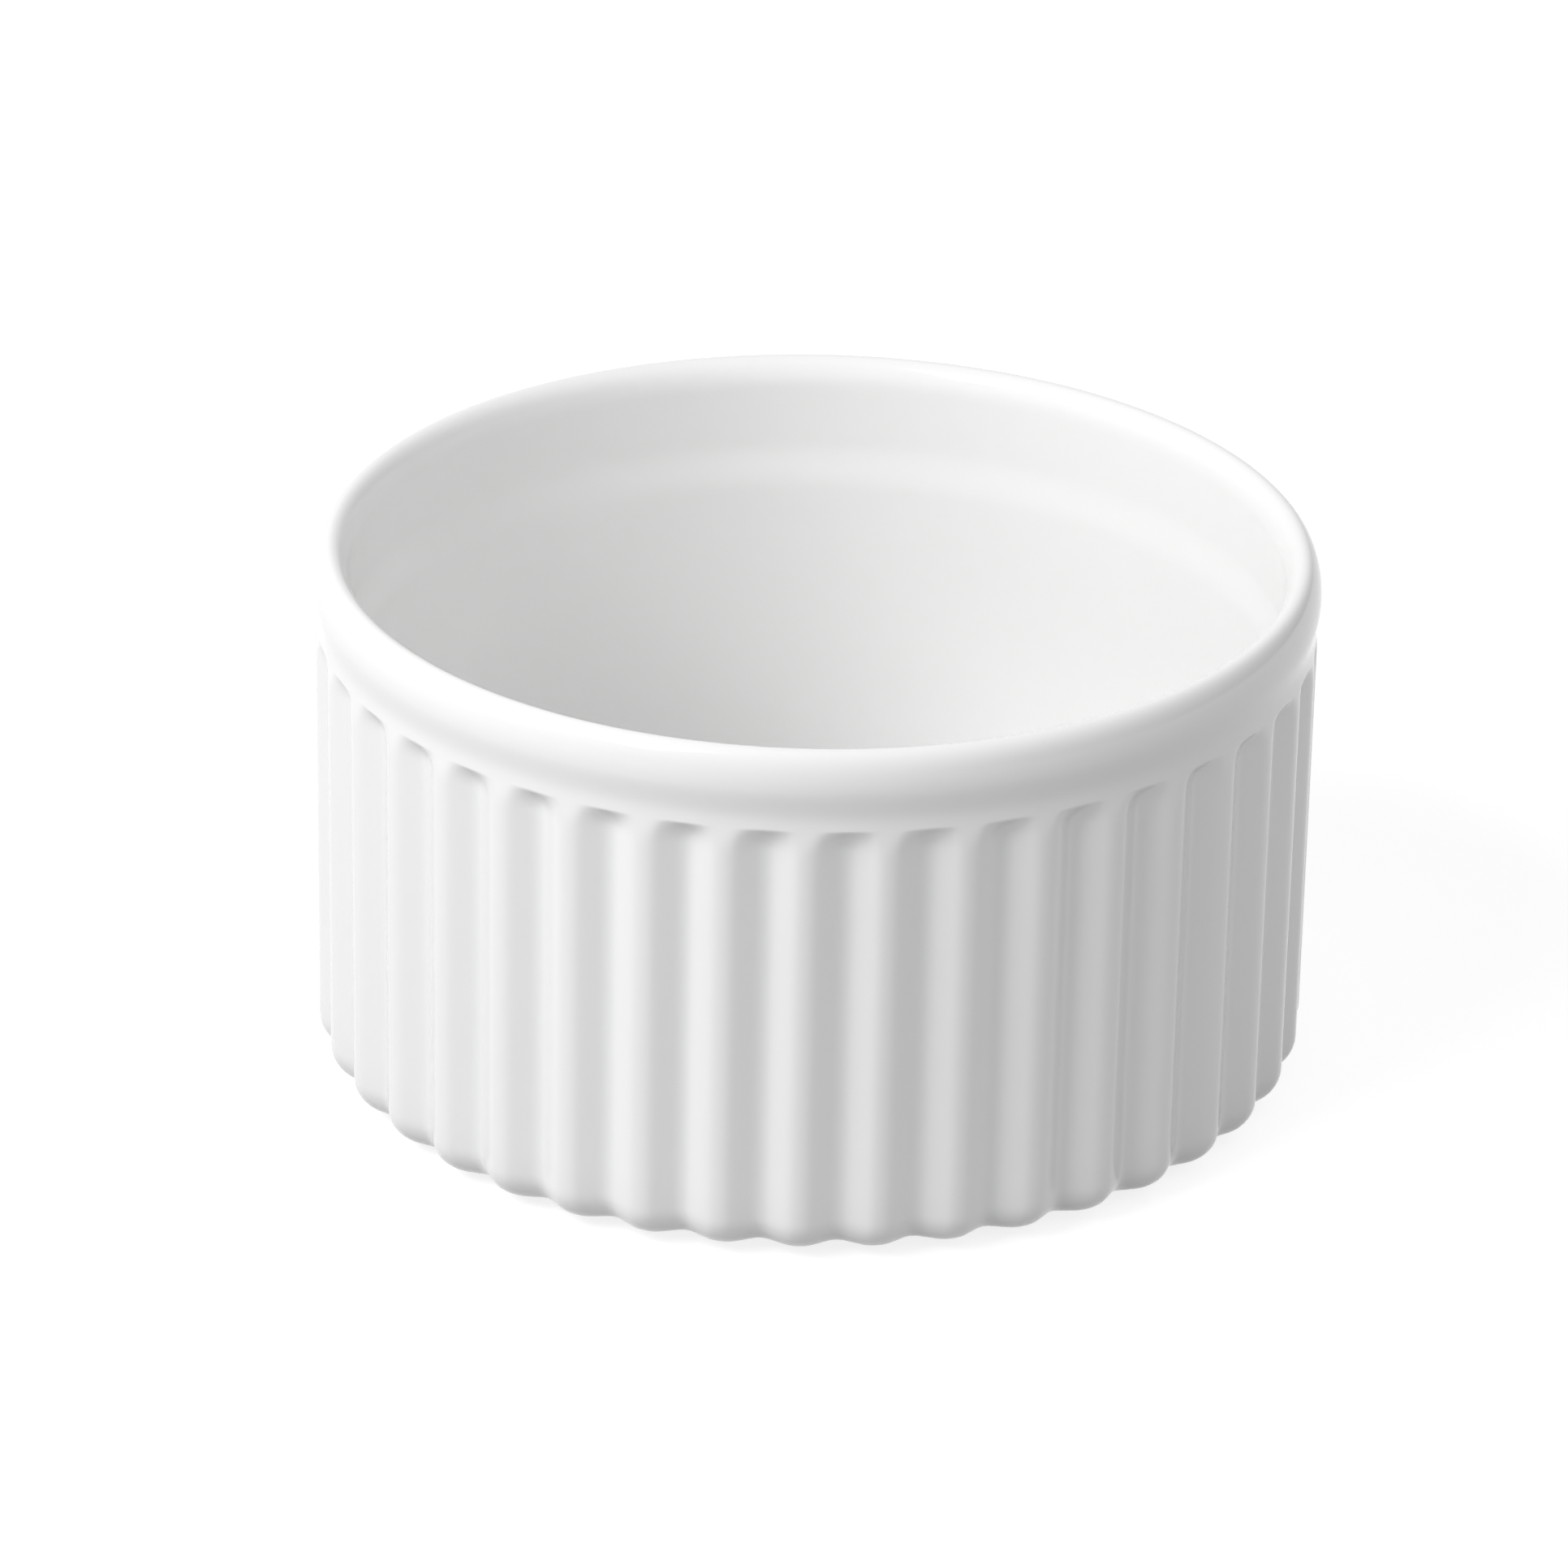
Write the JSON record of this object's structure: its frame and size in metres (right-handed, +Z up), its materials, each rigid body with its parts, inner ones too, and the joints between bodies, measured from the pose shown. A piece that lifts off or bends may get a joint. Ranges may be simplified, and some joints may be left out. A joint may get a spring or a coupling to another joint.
{
  "type": "ramekin",
  "caption": "Round white porcelain ramekin with a fluted straight wall, a rolled lip over a shallow neck, a soft ledge inside and a foot ring.",
  "frame": {"origin": "centre of the foot ring's resting plane, on the dish's axis", "axes": "+Z up along the dish's axis; -Y faces the viewer in the picture, where a flute crest stands 0.6 degrees to the left of -Y"},
  "size_m": [0.09, 0.09, 0.049],
  "materials": {
    "porcelain": "Fired porcelain, matt where the foot ring is wiped bare of glaze.",
    "glaze": "Glossy white glaze, smooth over the crests and a little thicker in the valleys."
  },
  "bodies": {
    "root": {"porcelain_body": "porcelain", "glaze_coat": "glaze", "underside_glaze": "glaze"}
  },
  "joints": []
}
